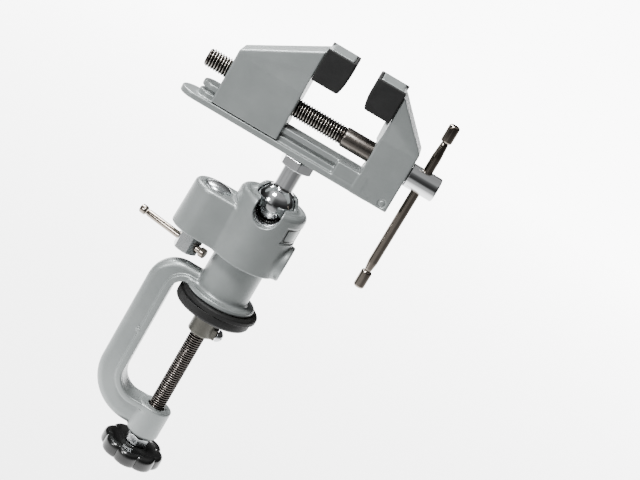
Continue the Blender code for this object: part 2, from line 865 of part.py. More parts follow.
JOINT_ORIGINS = {
    (0, 0, 0): ("clamp_screw", "clamp_knob", "knob_nut", "pressure_plate", "pressure_rubber", "pad_screw"),
    (0, 0, HOUSING_LOW): ("swivel_housing", "keeper_screw", "ball_seat", "ball_liner"),
    (0, 0, BALL_Z): ("ball_stud", "stud_nut", "vise_base", "fixed_jaw_pad"),
    (LOCK_X, 0, PIN_Z): ("lock_nut", "lock_pin", "lock_pin_cap"),
    (0, 0, SCREW_Z): ("movable_jaw", "movable_jaw_pad", "jaw_screw", "screw_ring", "screw_hub", "hub_pin"),
    (TBAR_X, 0, SCREW_Z): ("tbar_rod", "tbar_cap_top", "tbar_cap_bottom"),
}
for point, names in JOINT_ORIGINS.items():
    for name in names:
        set_origin(bpy.data.objects[name], point)
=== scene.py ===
"""Looks of the bench vise: rounded castings, real threads, polished and plated parts, and the stage."""

import math

import bpy
import numpy as np
from mathutils import Matrix, Vector


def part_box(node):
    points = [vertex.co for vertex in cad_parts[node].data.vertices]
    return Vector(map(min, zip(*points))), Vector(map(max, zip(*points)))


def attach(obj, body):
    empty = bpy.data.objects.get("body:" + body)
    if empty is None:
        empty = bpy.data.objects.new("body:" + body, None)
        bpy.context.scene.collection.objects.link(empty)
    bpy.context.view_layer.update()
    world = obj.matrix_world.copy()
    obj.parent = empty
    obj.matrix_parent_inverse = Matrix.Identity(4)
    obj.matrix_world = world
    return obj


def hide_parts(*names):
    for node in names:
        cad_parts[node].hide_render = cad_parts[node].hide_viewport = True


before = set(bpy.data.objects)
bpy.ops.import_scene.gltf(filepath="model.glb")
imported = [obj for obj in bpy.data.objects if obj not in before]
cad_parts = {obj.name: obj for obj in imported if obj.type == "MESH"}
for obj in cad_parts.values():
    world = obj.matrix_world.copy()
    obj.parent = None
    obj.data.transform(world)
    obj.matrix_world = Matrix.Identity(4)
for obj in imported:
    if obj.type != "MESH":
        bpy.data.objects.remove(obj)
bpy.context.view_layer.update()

MM = 0.001

# Places and sizes taken from the frame, in millimetres
BASE = 103.0                              # underside of the vise base
SCREW_Z = 127.6                           # axis of the main screw
SHOULDER, CORNER = BASE + 35.5, BASE + 39.7           # where a jaw's side facets and its sloped top begin
TIP_LOW, TIP_EDGE, JAW_TOP = BASE + 49.4, BASE + 64.1, BASE + 67.3
RUBBER_LOW, RUBBER_TOP = BASE + 47.0, BASE + 67.0
FIXED = (58.5, 34.2, 15.4)                # x of a jaw's outer end, its inner face and its rubber's face
MOVABLE = (-61.0, -17.4, 1.6)
BALL_Z, BALL_R = 71.7, 12.0
LOCK_X = -32.6                            # axis of the lock bolt
PIN_Z = 23.6                              # axis of the lock nut's bar
KEEPER_Z = 42.5                           # axis of the round boss and its keeper screw
LUG_Z = -18.4                             # axis of the pressure plate's cross screw
KNOB_LOW = -115.9                         # underside of the knob
CLAMP_FEED = 55.0                         # how far the knob moves down when the clamp opens
TBAR_X = 67.8                             # axis of the main tommy bar

# ------------------------------------------------------------------ materials

GRAIN_DEPTH = 0.0001                      # metres


def new_material(name):
    made = bpy.data.materials.new(name)
    made.use_nodes = True
    return made, made.node_tree, made.node_tree.nodes["Principled BSDF"]


def noise(tree, scale, detail=3.0, roughness=0.55):
    """A noise factor over the object's own coordinates."""
    coords = tree.nodes.new("ShaderNodeTexCoord")
    tex = tree.nodes.new("ShaderNodeTexNoise")
    tex.inputs["Scale"].default_value = scale
    tex.inputs["Detail"].default_value = detail
    tex.inputs["Roughness"].default_value = roughness
    tree.links.new(coords.outputs["Object"], tex.inputs["Vector"])
    return tex.outputs["Fac"]


def coordinates(tree, space):
    """The separate X, Y and Z outputs of a coordinate."""
    coords = tree.nodes.new("ShaderNodeTexCoord")
    split = tree.nodes.new("ShaderNodeSeparateXYZ")
    tree.links.new(coords.outputs[space], split.inputs["Vector"])
    return split.outputs


def ramp(tree, factor, stops):
    node = tree.nodes.new("ShaderNodeValToRGB")
    ends = node.color_ramp.elements
    ends[0].position, ends[0].color = stops[0][0], (*stops[0][1], 1)
    ends[1].position, ends[1].color = stops[-1][0], (*stops[-1][1], 1)
    for place, colour in stops[1:-1]:
        ends.new(place).color = (*colour, 1)
    tree.links.new(factor, node.inputs["Fac"])
    return node.outputs["Color"]


def grey_ramp(tree, factor, stops):
    return ramp(tree, factor, [(place, (value, value, value)) for place, value in stops])


def maths(tree, operation, first, second=None):
    """A maths node on an output and, where the operation needs one, a second output or a number."""
    node = tree.nodes.new("ShaderNodeMath")
    node.operation = operation
    tree.links.new(first, node.inputs[0])
    if isinstance(second, float):
        node.inputs[1].default_value = second
    elif second:
        tree.links.new(second, node.inputs[1])
    return node.outputs["Value"]


def blend(tree, kind, first, second):
    """Two colours multiplied or added."""
    node = tree.nodes.new("ShaderNodeMix")
    node.data_type, node.blend_type = "RGBA", kind
    node.inputs["Factor"].default_value = 1.0
    tree.links.new(first, node.inputs["A"])
    tree.links.new(second, node.inputs["B"])
    return node.outputs["Result"]


def unit(tree, factor, low, high):
    """A factor mapped from low..high to 0..1."""
    node = tree.nodes.new("ShaderNodeMapRange")
    node.inputs["From Min"].default_value = low
    node.inputs["From Max"].default_value = high
    tree.links.new(factor, node.inputs["Value"])
    return node.outputs["Result"]


def spread(tree, factor, low, high):
    """A factor mapped from 0..1 to low..high."""
    node = tree.nodes.new("ShaderNodeMapRange")
    node.inputs["To Min"].default_value = low
    node.inputs["To Max"].default_value = high
    tree.links.new(factor, node.inputs["Value"])
    return node.outputs["Result"]


def bump(tree, shader, height, strength):
    node = tree.nodes.new("ShaderNodeBump")
    node.inputs["Strength"].default_value = strength
    node.inputs["Distance"].default_value = GRAIN_DEPTH
    tree.links.new(height, node.inputs["Height"])
    tree.links.new(node.outputs["Normal"], shader.inputs["Normal"])


def surface(name, dark, light, rough, metallic, grain, mottle, strength, coat=0.0, specular=0.5):
    """A material whose colour and roughness wander a little and whose surface carries a fine grain."""
    made, tree, shader = new_material(name)
    patches = noise(tree, mottle, 4.0, 0.6)
    tree.links.new(ramp(tree, patches, [(0.3, dark), (0.7, light)]), shader.inputs["Base Color"])
    tree.links.new(spread(tree, noise(tree, mottle * 3, 3.0), rough[0], rough[1]), shader.inputs["Roughness"])
    shader.inputs["Metallic"].default_value = metallic
    shader.inputs["Specular IOR Level"].default_value = specular
    shader.inputs["Coat Weight"].default_value = coat
    shader.inputs["Coat Roughness"].default_value = 0.08
    bump(tree, shader, noise(tree, grain, 2.0, 0.6), strength)
    return made


CAST = surface(
    "cast_aluminium_satin", dark=(0.165, 0.179, 0.177), light=(0.195, 0.209, 0.207), rough=(0.34, 0.44),
    metallic=0.5, grain=1500, mottle=45, strength=0.22,
)
PLATE = surface(
    "turned_plate", dark=(0.075, 0.073, 0.062), light=(0.11, 0.107, 0.095), rough=(0.35, 0.5),
    metallic=0.8, grain=1800, mottle=120, strength=0.15,
)
CHROME = surface(
    "polished_chrome_bright", dark=(0.54, 0.55, 0.56), light=(0.62, 0.63, 0.64), rough=(0.06, 0.12),
    metallic=1.0, grain=700, mottle=50, strength=0.015,
)
ZINC = surface(
    "zinc_plated", dark=(0.38, 0.4, 0.41), light=(0.48, 0.49, 0.49), rough=(0.2, 0.34),
    metallic=1.0, grain=1400, mottle=90, strength=0.08,
)
NICKEL = surface(
    "nickel_bar", dark=(0.19, 0.165, 0.14), light=(0.26, 0.23, 0.2), rough=(0.08, 0.15),
    metallic=1.0, grain=900, mottle=60, strength=0.03,
)
STEEL = surface(
    "oiled_steel", dark=(0.06, 0.053, 0.05), light=(0.11, 0.1, 0.094), rough=(0.22, 0.36),
    metallic=1.0, grain=1300, mottle=150, strength=0.1,
)
RUBBER = surface(
    "black_rubber_matt", dark=(0.003, 0.003, 0.003), light=(0.006, 0.006, 0.006), rough=(0.5, 0.7),
    metallic=0.0, grain=1600, mottle=120, strength=0.25, specular=0.22,
)
PLASTIC = surface(
    "black_plastic_gloss", dark=(0.003, 0.003, 0.003), light=(0.005, 0.005, 0.005), rough=(0.16, 0.26),
    metallic=0.0, grain=500, mottle=60, strength=0.03, coat=0.1, specular=0.4,
)


def thread_material(name, across, centre_z, root, crest, bright):
    """Oiled steel with painted shade in the thread's grooves and a painted highlight on its crests and upper
    flanks. The distance from the screw's axis is measured over the two coordinates across it."""
    made, tree, shader = new_material(name)
    split = coordinates(tree, "Object")
    length = tree.nodes.new("ShaderNodeCombineXYZ")
    for i, (axis, centre) in enumerate(zip(across, (0.0, centre_z * MM))):
        tree.links.new(maths(tree, "SUBTRACT", split[axis], centre), length.inputs[i])
    radius = tree.nodes.new("ShaderNodeVectorMath")
    radius.operation = "LENGTH"
    tree.links.new(length.outputs[0], radius.inputs[0])
    depth = unit(tree, radius.outputs["Value"], root * MM, (root + (crest - root) * 1.25) * MM)
    # painted shade towards the thread's root, painted highlight at its crest, plain dark steel past the crest
    stops = [(0.0, (0.01, 0.008, 0.006)), (0.4, (0.04, 0.034, 0.03)), (0.64, tuple(0.5 * v for v in bright)),
             (0.8, bright), (0.88, (0.13, 0.115, 0.105)), (1.0, (0.11, 0.1, 0.09))]
    tree.links.new(ramp(tree, depth, stops), shader.inputs["Base Color"])
    tree.links.new(spread(tree, noise(tree, 400), 0.2, 0.34), shader.inputs["Roughness"])
    shader.inputs["Metallic"].default_value = 1.0
    bump(tree, shader, noise(tree, 1300, 2.0), 0.08)
    return made


# bright is the colour of the painted highlight on each screw's thread crests
JAW_THREAD = thread_material("jaw_screw_steel", "YZ", SCREW_Z, root=4.9, crest=5.95, bright=(0.42, 0.4, 0.37))
ROD_THREAD = thread_material("clamp_screw_steel", "XY", 0.0, root=4.15, crest=5.0,
                             bright=(0.15, 0.135, 0.125))

# ------------------------------------------------------------------ mesh helpers


def shape(name, verts, faces, material, body, node, sharp=None):
    """A visible piece that stands for one CAD node and rides on its body. Vertices are in millimetres."""
    mesh = bpy.data.meshes.new(name)
    mesh.from_pydata([tuple(v) for v in np.asarray(verts, float) * MM], [], faces)
    mesh.update()
    mesh.shade_smooth()
    if sharp is not None:
        mesh.set_sharp_from_angle(angle=math.radians(sharp))
    mesh.materials.append(material)
    piece = bpy.data.objects.new(name, mesh)
    bpy.context.scene.collection.objects.link(piece)
    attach(piece, body)
    if node:
        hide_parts(node)
    return piece


def rmax(a, b, r):
    """The overlap of two solids, its edge rounded to radius r."""
    return np.minimum(-r, np.maximum(a, b)) + np.hypot(np.maximum(a + r, 0), np.maximum(b + r, 0))


def rmin(a, b, r):
    """Two solids joined, with a fillet of radius r."""
    return -rmax(-a, -b, r)


def cut(a, b, r):
    """Solid a without solid b, its new edge rounded."""
    return rmax(a, -b, r)


def between(v, low, high):
    """Negative where v is between low and high."""
    return np.maximum(low - v, v - high)


def polygonise(field, low, high, step):
    """Vertices and outward quads of the surface where the field is zero.

    Each grid cell that the surface passes gets one vertex, at the mean of the crossings on its edges. The
    vertices are then moved onto the surface along the field's slope."""
    counts = [int(math.ceil((b - a) / step)) + 4 for a, b in zip(low, high)]
    lines = [a - 1.5 * step + step * np.arange(n) for a, n in zip(low, counts)]
    values = field(*np.meshgrid(*lines, indexing="ij"))
    inside = values < 0
    corners = [(i, j, k) for i in (0, 1) for j in (0, 1) for k in (0, 1)]
    total = sum(inside[i:counts[0] - 1 + i, j:counts[1] - 1 + j, k:counts[2] - 1 + k].astype(np.int8)
                for i, j, k in corners)
    active = (total > 0) & (total < 8)
    index = np.full(active.shape, -1)
    index[active] = np.arange(int(active.sum()))
    cells = np.argwhere(active)
    offset = np.zeros((len(cells), 3))
    crossings = np.zeros(len(cells))
    for a in corners:
        for axis in range(3):
            if a[axis]:
                continue
            b = list(a)
            b[axis] = 1
            da = values[tuple((cells + a).T)]
            db = values[tuple((cells + b).T)]
            hit = (da < 0) != (db < 0)
            t = np.where(hit, da / np.where(hit, da - db, 1.0), 0.0)
            point = np.array(a, float)[None, :] + t[:, None] * np.eye(3)[axis][None, :]
            offset[hit] += point[hit]
            crossings[hit] += 1
    origin = np.array([line[0] for line in lines])
    points = origin + (cells + offset / crossings[:, None]) * step
    reach = 0.5 * step
    for _ in range(3):
        e = 0.05 * step
        here = field(*points.T)
        slope = np.stack([
            field(*(points + e * unit).T) - field(*(points - e * unit).T) for unit in np.eye(3)
        ], 1) / (2 * e)
        size = np.maximum((slope ** 2).sum(1), 0.25)
        move = np.clip(here / size, -reach, reach)[:, None] * slope
        points = points - np.clip(move, -reach, reach)
    faces = []
    for axis in range(3):
        first, second = [(1, 2), (2, 0), (0, 1)][axis]
        low_side = np.take(inside, range(counts[axis] - 1), axis)
        high_side = np.take(inside, range(1, counts[axis]), axis)
        change = low_side != high_side
        at = np.argwhere(change)
        keep = (at[:, first] > 0) & (at[:, second] > 0)
        keep &= (at[:, first] < counts[first] - 1) & (at[:, second] < counts[second] - 1)
        at = at[keep]
        quad = []
        for p, q in ((-1, -1), (0, -1), (0, 0), (-1, 0)):
            cell = at.copy()
            cell[:, first] += p
            cell[:, second] += q
            quad.append(index[tuple(cell.T)])
        quad = np.stack(quad, 1)
        flip = ~low_side[tuple(at.T)]
        quad[flip] = quad[flip][:, ::-1]
        faces.append(quad)
    return points, np.concatenate(faces).tolist()


def solid(name, field, low, high, step, material, body, node):
    points, faces = polygonise(field, low, high, step)
    return shape(name, points, faces, material, body, node)


def soften(profile, radius):
    """A profile with its inner corners replaced by short curves."""
    rounded = [profile[0]]
    for before, here, after in zip(profile, profile[1:], profile[2:]):
        p, q, s = (np.array(v, float) for v in (before, here, after))
        la, lb = np.linalg.norm(p - q), np.linalg.norm(s - q)
        reach = min(radius, 0.45 * la, 0.45 * lb)
        a, b = q + (p - q) / la * reach, q + (s - q) / lb * reach
        for t in (0, 0.25, 0.5, 0.75, 1.0):
            rounded.append(tuple((1 - t) ** 2 * a + 2 * t * (1 - t) * q + t ** 2 * b))
    return rounded + [profile[-1]]


def rings_to_mesh(rings):
    """Vertices and quads through closed rings of equal length; a single point closes an end."""
    verts, starts = [], []
    for ring in rings:
        starts.append(len(verts))
        verts.extend(ring)
    faces = []
    for (sa, ra), (sb, rb) in zip(zip(starts, rings), zip(starts[1:], rings[1:])):
        count = max(len(ra), len(rb))
        for i in range(count):
            j = (i + 1) % count
            if len(ra) == 1:
                faces.append((sa, sb + j, sb + i))
            elif len(rb) == 1:
                faces.append((sa + i, sa + j, sb))
            else:
                faces.append((sa + i, sa + j, sb + j, sb + i))
    return verts, faces


def lathe(name, profile, material, body, node, at=(0, 0, 0), axis=(0, 0, 1), radius=0.4, segments=96):
    """A turned piece from (radius, distance along the axis) points, from the low end to the high end."""
    turn = Vector((0, 0, 1)).rotation_difference(Vector(axis)).to_matrix()
    rings = []
    for r, h in soften(profile, radius) if radius else profile:
        if r < 1e-6:
            rings.append([Vector(at) + turn @ Vector((0, 0, h))])
            continue
        angles = [2 * math.pi * i / segments for i in range(segments)]
        rings.append([Vector(at) + turn @ Vector((r * math.cos(a), r * math.sin(a), h)) for a in angles])
    verts, faces = rings_to_mesh(rings)
    return shape(name, verts, faces, material, body, node, sharp=50)


def threaded(name, profile, thread, material, body, node, at, axis, segments=48):
    """A screw: the profile's plain ends with a helical thread between them. The thread is given as its
    pitch, its start and end along the axis, its depth and its outer radius."""
    pitch, start, end, depth, outer = thread
    turn = Vector((0, 0, 1)).rotation_difference(Vector(axis)).to_matrix()
    angles = np.arange(segments) * 2 * math.pi / segments
    rows = int((end - start) / pitch * 9)
    rings = []

    def ring(radii, height):
        points = [Vector((r * math.cos(a), r * math.sin(a), height)) for r, a in zip(radii, angles)]
        rings.append([Vector(at) + turn @ point for point in points])

    def plain(r, h):
        if r < 1e-6:
            rings.append([Vector(at) + turn @ Vector((0, 0, h))])
        else:
            ring(np.full(segments, r), h)

    for r, h in profile:
        if h < start:
            plain(r, h)
    for i in range(rows + 1):
        h = start + (end - start) * i / rows
        phase = (h / pitch - angles / (2 * math.pi)) % 1.0
        tooth = np.clip(1.35 - np.abs(phase - 0.5) * 2.0 * 1.6, 0.0, 1.0)
        fade = min(1.0, (h - start) / pitch + 0.1, (end - h) / (1.5 * pitch) + 0.05)
        ring(outer - depth + depth * (tooth * fade + (1 - fade) * 0.3), h)
    for r, h in profile:
        if h > end:
            plain(r, h)
    verts, faces = rings_to_mesh(rings)
    return shape(name, verts, faces, material, body, node, sharp=60)


# ------------------------------------------------------------------ castings


def corner_region(x, z, left, low, high, low_r, high_r):
    """Negative inside a region open to the right, with its two left corners rounded."""

    def rounded(a, b, r):
        return np.hypot(np.maximum(a, 0), np.maximum(b, 0)) + np.minimum(np.maximum(a, b), 0) - r

    up = rounded(left + high_r - x, z - (high - high_r), high_r)
    down = rounded(left + low_r - x, low + low_r - z, low_r)
    return np.where(z > (low + high) / 2, up, down)


COLUMN_R, COLUMN_TOP = 16.6, 55.0
FLANGE_R, FLANGE_LOW, FLANGE_TOP = 22.3, 3.8, 6.8
GROOVE_R, GROOVE_HALF = 15.0, 3.8
THROAT_X, THROAT_LOW, THROAT_TOP = -27.9, -78.2, 4.1
SPINE_X, ARM_LOW, ARM_TOP = -44.3, -96.0, 13.2
STRIP_HALF, STRIP_THICK, BAR_HALF = 9.0, 4.1, 6.2
CLAMP_BOSS_R, CLAMP_BOSS_LOW, CLAMP_BOSS_TOP = 10.4, -98.7, -77.9


def clamp_frame(x, y, z):
    """Flange and column, and the arm: a bar behind a wider strip, with the screw's boss at its lower end."""
    r = np.hypot(x, y)
    flange = rmax(r - FLANGE_R, between(z, FLANGE_LOW, FLANGE_TOP), 0.7)
    column = rmax(r - COLUMN_R, between(z, FLANGE_LOW, COLUMN_TOP), 1.0)
    column = cut(column, np.maximum(GROOVE_R - r, np.abs(z - KEEPER_Z) - GROOVE_HALF), 0.4)
    d = rmin(flange, column, 1.6)
    inner = corner_region(x, z, THROAT_X, THROAT_LOW, THROAT_TOP, 13.5, 8.0)
    outer = corner_region(x, z, SPINE_X, ARM_LOW, ARM_TOP, 31.0, 18.5)
    strip = rmax(rmax(np.abs(y) - STRIP_HALF, inner - STRIP_THICK, 0.9), -inner, 0.9)
    bar = rmax(rmax(np.abs(y) - BAR_HALF, outer, 4.6), -inner, 0.5)
    arm = np.maximum(rmin(strip, bar, 0.5), x)
    nub = rmax(np.hypot(x + 32.3, z + 38.0) - 1.3, np.abs(y) - STRIP_HALF, 0.6)
    arm = rmin(arm, nub, 0.5)
    boss = rmax(rmax(r - CLAMP_BOSS_R, CLAMP_BOSS_LOW - z, 2.4), z - CLAMP_BOSS_TOP, 0.7)
    d = rmin(d, rmin(arm, boss, 1.2), 1.4)
    return cut(d, np.maximum(r - 5.4, z + 68.0), 0.5)


def stadium(x, y, centre, half):
    """Negative inside a strip, `half` to each side, that starts round at x = centre and runs towards +X."""
    return np.where(x < centre, np.hypot(x - centre, y), np.abs(y)) - half


HOUSING_R, HOUSING_LOW, HOUSING_TOP, HOUSING_BORE_R = 22.1, 32.0, 74.2, 16.9
LOCK_BOSS_R, LOCK_BOSS_LOW, LOCK_BOSS_TOP = 15.4, 32.2, 62.8
ROUND_BOSS_R, ROUND_BOSS_END, ROUND_BOSS_ANGLE = 11.5, 24.8, math.radians(-1)
DOME_R, DOME_TOP, SOCKET_R = 14.4, 80.7, 12.35
NOTCH_HALF, NOTCH_Z = 8.2, 68.9
PANEL_Z, PANEL_ANGLE, PANEL_FLOOR_R = 61.7, -20.0, 21.4


def swivel_housing(x, y, z):
    """Round body with the lock's boss, the keeper's round boss, and half a dome behind the ball."""
    r = np.hypot(x, y)
    body = rmax(rmax(r - HOUSING_R, HOUSING_LOW - z, 0.7), z - HOUSING_TOP, 3.6)
    draft = LOCK_BOSS_R - 0.9 * (z - 33.0) / 30.0
    lock = rmax(rmax(stadium(x, y, LOCK_X, 0.0) - draft, LOCK_BOSS_LOW - z, 0.7), z - LOCK_BOSS_TOP, 2.4)
    lock = np.maximum(lock, x + 5)
    ca, sa = math.cos(ROUND_BOSS_ANGLE), math.sin(ROUND_BOSS_ANGLE)
    along = x * ca + y * sa
    away = np.hypot(x * -sa + y * ca, z - KEEPER_Z)
    side = rmax(away - ROUND_BOSS_R, between(along, 14.0, ROUND_BOSS_END), 1.2)
    d = rmin(rmin(body, lock, 1.8), side, 1.4)
    ball = np.sqrt(x ** 2 + y ** 2 + (z - BALL_Z) ** 2)
    dome = rmax(rmax(ball - DOME_R, -1.0 - y, 0.7), z - DOME_TOP, 0.7)
    d = rmin(d, np.maximum(dome, 66.0 - z), 1.6)
    valley = np.hypot(r - 16.2, z - 75.6) - 2.0
    d = cut(d, valley, 0.6)
    d = cut(d, ball - SOCKET_R, 0.6)
    d = np.maximum(d, -np.maximum(r - HOUSING_BORE_R, z - 66.5))
    notch = np.where(z < NOTCH_Z, np.hypot(x, z - NOTCH_Z), np.abs(x)) - NOTCH_HALF
    d = cut(d, np.maximum(notch, y + 2.0), 0.8)
    angle = np.degrees(np.arctan2(y, x)) - PANEL_ANGLE
    panel = np.maximum((np.abs(angle) - 28.0) * 0.386, np.abs(z - PANEL_Z) - 5.3)
    d = cut(d, np.where(x > 0, np.maximum(panel, PANEL_FLOOR_R - r), 9.0), 0.25)
    axis = np.hypot(x - LOCK_X, y)
    d = cut(d, np.maximum(axis - 9.2, 61.6 - z), 0.5)
    d = cut(d, axis - 4.4, 0.3)
    cavity = np.maximum(np.maximum(between(x, -41.8, -12.0), np.abs(y) - 8.0), between(z, 38.0, 56.0))
    d = np.maximum(d, -cavity)
    return cut(d, np.maximum(away - 3.4, 8.0 - along), 0.5)


JAW_HALF, JAW_FLARE, TONGUE_HALF, TONGUE_RISE = 10.0, 3.0, 12.2, 2.6


def jaw(x, y, z, size, low, crowns, nose):
    """One cast jaw with its tongue. Distances run from the outside of the jaw towards the workpiece."""
    out, ins, end = size
    way = 1 if ins > out else -1
    length = abs(ins - out)
    u = (x - out) * way
    ay = np.abs(y)
    slope = (TIP_EDGE - CORNER) / length
    top = (z - CORNER - slope * u) / math.hypot(1, slope)
    wide = (ay - JAW_HALF - JAW_FLARE * u / length) / math.hypot(1, JAW_FLARE / length)
    rise = JAW_FLARE / (TIP_LOW - SHOULDER)
    lean = 1.2 * rise / length
    facet = (ay - JAW_HALF - lean * u - rise * (z - SHOULDER - 1.2)) / math.hypot(1, rise, lean)
    sides = np.minimum(ay - JAW_HALF, rmax(wide, facet, 0.4))
    climb = np.clip((z - low) / (TIP_LOW - 5.2 - low), 0, 1)
    fade = np.clip((TIP_LOW - 3.6 - z) / 1.6, 0, 1)
    crown = (crowns[0] + (crowns[1] - crowns[0]) * climb) * np.clip(1 - ay / JAW_HALF, 0, 1) * fade
    d = rmax(rmax(sides, top, 0.8), -u, 0.9)
    d = rmax(rmax(d, u - length - crown, 0.7), low - z, 0.6)
    reach = abs(end - out) - 2.3
    tongue = rmax(rmax(ay - TONGUE_HALF, between(u, length - 4.0, reach), 0.6), TIP_LOW + 0.4 - z, 0.5)
    rear = (z - TIP_EDGE - (u - length) * (JAW_TOP - TIP_EDGE) / TONGUE_RISE) / math.hypot(1, 1.23)
    over = np.where(u < length, top + 0.05, rear)
    tongue = rmax(tongue, rmax(over, z - JAW_TOP, 0.6), 0.4)
    return rmin(d, tongue, nose)


def vise_base(x, y, z):
    """Fixed jaw on a plate, with the rail that the movable jaw hooks on, and a step beside the fixed jaw."""
    d = jaw(x, y, z, FIXED, BASE, (0.4, 2.6), 0.3)
    plate = rmax(np.maximum(stadium(x, y, -71.0, 10.0), x - 45), between(z, BASE, BASE + 3.8), 0.7)
    track = stadium(x, y, -63.9, 7.3)
    rail = rmax(np.maximum(track, x - 37), between(z, BASE + 3.0, BASE + 13.0), 0.7)
    rail = cut(rail, np.maximum(np.abs(z - BASE - 8.5) - 1.1, -track - 1.7), 0.3)
    step = rmax(np.abs(y) - 9.8, z - BASE - 12.5, 0.9)
    step = rmax(step, np.maximum(between(x, 19.8, 40.0), BASE + 0.6 - z), 0.9)
    d = rmin(d, plate, 0.5)
    d = rmin(d, rmin(rail, step, 0.7), 0.8)
    axis = np.hypot(y, z - SCREW_Z)
    d = cut(d, np.maximum(axis - 6.6, 10 - x), 0.6)
    d = cut(d, np.maximum(axis - 8.4, x - 37.4), 0.5)
    d = cut(d, np.maximum(np.hypot(x, y) - 4.4, z - 111.5), 0.3)
    mark = np.maximum(np.abs(np.hypot(x - 54.0, z - BASE - 3.6) - 2.1) - 0.5, y + 9.6)
    return cut(d, mark, 0.25)


def movable_jaw(x, y, z):
    """The sliding jaw, with the channel and lips that fit the rail."""
    d = jaw(x, y, z, MOVABLE, BASE + 4.5, (1.5, 1.5), 0.3)
    ay = np.abs(y)
    lip = np.maximum(np.abs(z - BASE - 8.45) - 0.45, 6.0 - ay)
    channel = cut(np.maximum(ay - 7.65, z - BASE - 13.4), lip, 0.1)
    d = cut(d, channel, 0.4)
    return cut(d, np.hypot(y, z - SCREW_Z) - 6.3, 0.6)


def rubber_cap(size, bottom=RUBBER_LOW):
    """A cap over a jaw's tongue, square outside, with a slightly bellied face and a pocket for the tongue."""
    _, ins, end = size
    way = 1 if end > ins else -1
    thick = abs(end - ins)

    def field(x, y, z):
        v = (x - ins) * way
        ay = np.abs(y)
        belly = 0.25 * np.clip(((z - RUBBER_TOP + 8) / 12) ** 2, 0, 1)
        outer = rmax(rmax(ay - 14.3, v - thick + belly, 1.3), between(z, bottom, RUBBER_TOP), 0.7)
        low_corner = ((v - thick + 1.8) * 5.0 - (z - bottom) * 1.6) / math.hypot(5.0, 1.6)
        outer = rmax(outer, low_corner, 1.2)
        outer = rmax(outer, 0.3 - v, 0.4)
        pocket = np.maximum(np.maximum(ay - 12.5, v - thick + 2.0), TIP_LOW - z)
        return cut(outer, pocket, 0.4)

    return field


def panel_outline():
    """The raised dark line around the blank panel on the housing: a rounded rectangle wrapped on the wall."""
    half_width, half_height, corner, line = 22.5 * 0.374, 3.9, 0.8, 0.32
    low_r, high_r = 21.3, 21.62
    path = []
    for cx, cz, start in ((1, 1, 0), (-1, 1, 90), (-1, -1, 180), (1, -1, 270)):
        for i in range(5):
            a = math.radians(start + 22.5 * i)
            path.append((cx * (half_width - corner) + corner * math.cos(a),
                         cz * (half_height - corner) + corner * math.sin(a), math.cos(a), math.sin(a)))
    # long straight runs are split, so that the line follows the round wall
    full = []
    for here, after in zip(path, path[1:] + path[:1]):
        count = max(1, int(math.hypot(after[0] - here[0], after[1] - here[1])))
        for i in range(count):
            t = i / count
            full.append([p * (1 - t) + q * t for p, q in zip(here, after)])
    verts, faces = [], []
    for u, v, du, dv in full:
        size = math.hypot(du, dv)
        for side, r in ((-1, low_r), (1, low_r), (1, high_r), (-1, high_r)):
            a = math.radians(PANEL_ANGLE) + (u + side * line * du / size) / PANEL_FLOOR_R
            verts.append((r * math.cos(a), r * math.sin(a), PANEL_Z + v + side * line * dv / size))
    count = len(full)
    for i in range(count):
        a, b = 4 * i, 4 * ((i + 1) % count)
        for j in range(4):
            k = (j + 1) % 4
            faces.append((a + j, a + k, b + k, b + j))
    shape("panel_outline", verts, faces, PLASTIC, "housing", None, sharp=40)


def casting(node, field, step, material, body, margin=0.4):
    """The visible piece for a CAD node from its field, which is sampled over the node's box."""
    low, high = (np.array(corner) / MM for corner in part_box(node))
    return solid(node + "_look", field, low - margin, high + margin, step, material, body, node)


casting("clamp_frame", clamp_frame, 0.65, CAST, "clamp")
casting("swivel_housing", swivel_housing, 0.5, CAST, "housing")
casting("vise_base", vise_base, 0.55, CAST, "head")
casting("movable_jaw", movable_jaw, 0.55, CAST, "slider")
casting("fixed_jaw_pad", rubber_cap(FIXED), 0.5, RUBBER, "head")
casting("movable_jaw_pad", rubber_cap(MOVABLE, RUBBER_LOW - 0.8), 0.5, RUBBER, "slider")

# ------------------------------------------------------------------ clamp parts

lathe(
    "anvil_pad_look",
    [(0, 0), (24.6, 0), (24.7, 0.2), (24.7, 2.4), (24.2, 3.2), (23.2, 3.5), (0, 3.5)],
    RUBBER, "clamp", "anvil_pad", at=(1.9, 0, 0), radius=0.3,
)
lathe(
    "pressure_rubber_look",
    [(0, -2.6), (20.9, -2.6), (20.9, -6.05), (8.5, -10.15), (8.5, -10.6), (10.4, -10.6), (23.6, -6.2),
     (24.6, -4.9), (24.6, -0.5), (24.4, -0.3), (0, -0.3)],
    RUBBER, "pressure_pad", "pressure_rubber", radius=0.4,
)


def pressure_plate(x, y, z):
    """A shallow cone-backed disc with a collar for the screw's end and a lug for the cross screw."""
    r = np.hypot(x, y)
    cone = ((r - 20.6) * 4.05 - (z + 5.8) * 12.4) / 13.04
    disc = rmax(np.maximum(r - 20.6, z + 2.9), cone, 0.4)
    collar = rmax(r - 7.75, between(z, -22.4, -5.0), 0.8)
    lug = rmax(rmax(np.abs(y) - 3.4, between(z, LUG_Z - 3.6, LUG_Z + 3.9), 1.0), between(x, 4.0, 10.1), 0.6)
    d = rmin(rmin(disc, collar, 0.8), lug, 0.9)
    d = cut(d, np.maximum(r - 5.5, z + 8.2), 0.4)
    return cut(d, np.maximum(np.hypot(y, z - LUG_Z) - 2.3, 3.0 - x), 0.3)


casting("pressure_plate", pressure_plate, 0.45, PLATE, "pressure_pad")


